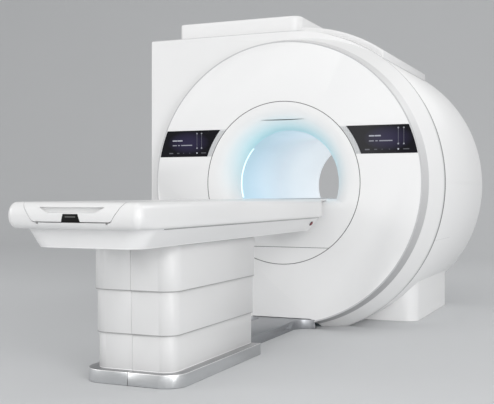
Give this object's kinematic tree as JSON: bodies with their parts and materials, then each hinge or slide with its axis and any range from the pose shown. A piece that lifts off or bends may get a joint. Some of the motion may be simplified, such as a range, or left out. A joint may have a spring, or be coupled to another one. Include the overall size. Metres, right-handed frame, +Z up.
{
  "type": "magnetic resonance scanner",
  "caption": "Wide-bore magnetic resonance scanner with a flared round face, squared left cover, and a patient table on a telescopic pedestal with a sliding cradle.",
  "frame": {"origin": "on the floor under the bore axis, in the plane of the gantry's front face", "axes": "+Y along the bore, away from the table; +Z up; +X to the right seen from the table"},
  "size_m": [2.178, 4.52, 2.217],
  "materials": {
    "cover_white": "glossy painted cover",
    "flare_white": "glossy, faintly blue",
    "bore_liner": "satin",
    "light_guide": "glowing, translucent",
    "display_glass": "polished",
    "grille_grey": "matte",
    "table_white": "satin gloss",
    "skirt_white": "satin",
    "trim_aluminium": "brushed",
    "latch_black": "satin",
    "stop_red": "glossy",
    "vessel_aluminium": "satin",
    "coil_resin": "cast resin",
    "frame_steel": "painted",
    "shaft_steel": "turned",
    "belt_rubber": "matte"
  },
  "bodies": {
    "gantry_and_base": {"magnet_vessel": "vessel_aluminium", "gradient_coil": "coil_resin", "cold_head": "shaft_steel", "magnet_feet": "frame_steel", "bore_tube": "bore_liner", "front_flare": "flare_white", "flare_apron": "flare_white", "flare_lower_panel": "flare_white", "bore_lights": "light_guide", "face_panel": "cover_white", "display_left": "display_glass", "display_right": "display_glass", "grille_left": "grille_grey", "grille_right": "grille_grey", "front_cover": "cover_white", "cover_back": "cover_white", "barrel_cover_left": "cover_white", "barrel_cover_right": "cover_white", "saddle_cover": "cover_white", "turret_cover": "cover_white", "rear_cover": "cover_white", "rear_flare": "cover_white", "foot_cover_left": "cover_white", "foot_cover_right": "cover_white", "cover_brackets": "frame_steel", "bridge": "table_white", "lower_skirt_left": "skirt_white", "lower_skirt_right": "skirt_white", "column_outer": "shaft_steel", "base_frame": "frame_steel", "base_trim_left": "trim_aluminium", "base_trim_right": "trim_aluminium", "dock_plate": "trim_aluminium"},
    "middle_stage": {"middle_skirt_left": "skirt_white", "middle_skirt_right": "skirt_white", "column_middle": "shaft_steel", "middle_carrier": "frame_steel"},
    "table": {"table_body": "table_white", "table_underbody": "table_white", "drive_belt": "belt_rubber", "pulley_brackets": "frame_steel", "drive_motor": "shaft_steel", "upper_skirt_left": "skirt_white", "upper_skirt_right": "skirt_white", "column_inner": "shaft_steel"},
    "cradle": {"cradle": "table_white", "cradle_end_cap": "table_white", "belt_clamp": "frame_steel"},
    "cradle_latch": {"cradle_latch": "latch_black"},
    "stop_button_left": {"stop_button_left": "stop_red"},
    "stop_button_right": {"stop_button_right": "stop_red"},
    "drive_pulley": {"drive_pulley": "shaft_steel"},
    "idler_pulley": {"idler_pulley": "shaft_steel"}
  },
  "joints": [
    {"name": "table_lift", "type": "slide", "parent": "gantry_and_base", "child": "table", "axis": [0, 0, 1], "range_m": [-0.34, 0]},
    {"name": "middle_lift", "type": "slide", "parent": "gantry_and_base", "child": "middle_stage", "axis": [0, 0, 1], "range_m": [-0.17, 0]},
    {"name": "cradle_slide", "type": "slide", "parent": "table", "child": "cradle", "axis": [0, 1, 0], "range_m": [0, 1.9]},
    {"name": "drive_pulley_spin", "type": "hinge", "parent": "table", "child": "drive_pulley", "pos_m": [0, -2.29, 0.728], "axis": [-1, 0, 0], "range_deg": [0, 4225]},
    {"name": "idler_pulley_spin", "type": "hinge", "parent": "table", "child": "idler_pulley", "pos_m": [0, -0.276, 0.728], "axis": [-1, 0, 0], "range_deg": [0, 4225]},
    {"name": "latch_press", "type": "slide", "parent": "cradle", "child": "cradle_latch", "axis": [0, 1, 0], "range_m": [0, 0.006], "stiffness_N_per_m": 800},
    {"name": "stop_press_right", "type": "slide", "parent": "table", "child": "stop_button_right", "axis": [0.8262, 0, -0.5633], "range_m": [-0.004, 0], "stiffness_N_per_m": 2000},
    {"name": "stop_press_left", "type": "slide", "parent": "table", "child": "stop_button_left", "axis": [-0.8262, 0, -0.5633], "range_m": [-0.004, 0], "stiffness_N_per_m": 2000}
  ],
  "couplings": [
    {"joint": "middle_lift", "follows": "table_lift", "ratio": 0.5},
    {"joint": "drive_pulley_spin", "follows": "cradle_slide", "rad_per_m": 38.76},
    {"joint": "idler_pulley_spin", "follows": "cradle_slide", "rad_per_m": 38.76}
  ]
}
